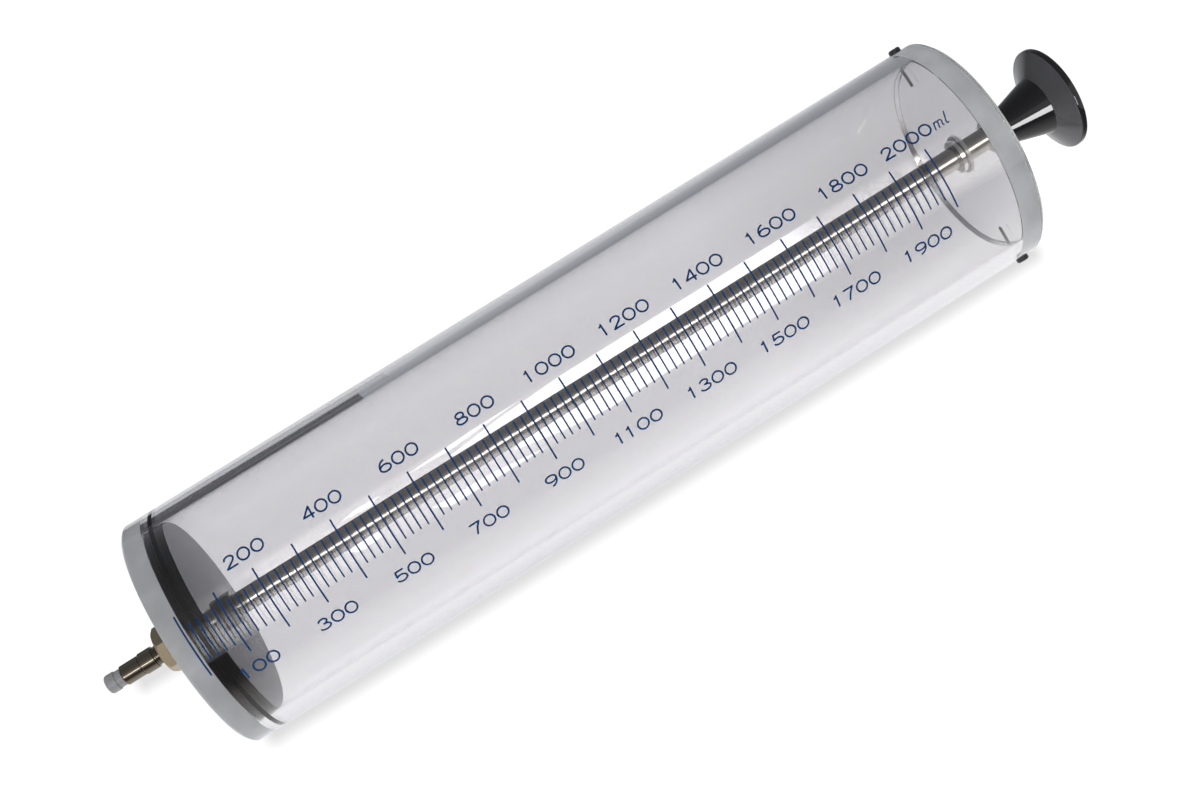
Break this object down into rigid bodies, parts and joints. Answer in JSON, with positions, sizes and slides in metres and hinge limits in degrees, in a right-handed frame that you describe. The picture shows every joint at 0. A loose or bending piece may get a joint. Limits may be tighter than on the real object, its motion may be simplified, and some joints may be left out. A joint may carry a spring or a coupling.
{
  "type": "gas syringe",
  "caption": "Large clear syringe for measuring and moving gas: straight tube between two flush end plugs, ring-sealed piston on a steel rod with a flared knob, capped nozzle.",
  "frame": {"origin": "centre of the knob's flat face, on which the syringe stands", "axes": "+Z along the barrel towards the nozzle, -Y towards the printed scale, +X towards one of the two plug screws"},
  "size_m": [0.1038, 0.1, 0.4555],
  "materials": {
    "clear_acrylic": "clear, polished",
    "black_plastic": "turned and polished",
    "black_rubber": "smooth, greased",
    "stainless_steel": "ground and polished",
    "blackened_steel": "blackened",
    "nickel_brass": "dull nickel over brass, turned",
    "white_bearing_plastic": "natural",
    "cap_plastic": "soft, slightly translucent"
  },
  "bodies": {
    "barrel": {"barrel_tube": "clear_acrylic", "front_end_plug": "clear_acrylic", "rear_end_plug": "clear_acrylic", "plug_screws": "blackened_steel", "rod_seal": "black_rubber", "rod_bushing": "white_bearing_plastic", "nozzle_gasket": "black_rubber", "hex_adapter": "nickel_brass", "luer_fitting": "nickel_brass"},
    "seal_ring": {"piston_ring": "black_rubber"},
    "plunger": {"piston": "black_plastic", "rod_nut": "stainless_steel", "plunger_rod": "stainless_steel", "knob": "black_plastic"},
    "cap": {"tip_cap": "cap_plastic"}
  },
  "joints": [
    {"name": "plunger_slide", "type": "slide", "parent": "barrel", "child": "seal_ring", "axis": [0, 0, -1], "range_m": [0, 0.3434]},
    {"name": "plunger_turn", "type": "hinge", "parent": "seal_ring", "child": "plunger", "pos_m": [0, 0, 0], "axis": [0, 0, -1], "continuous": true},
    {"name": "cap_pull", "type": "slide", "parent": "barrel", "child": "cap", "axis": [0, 0, 1], "range_m": [0, 0.012]}
  ]
}
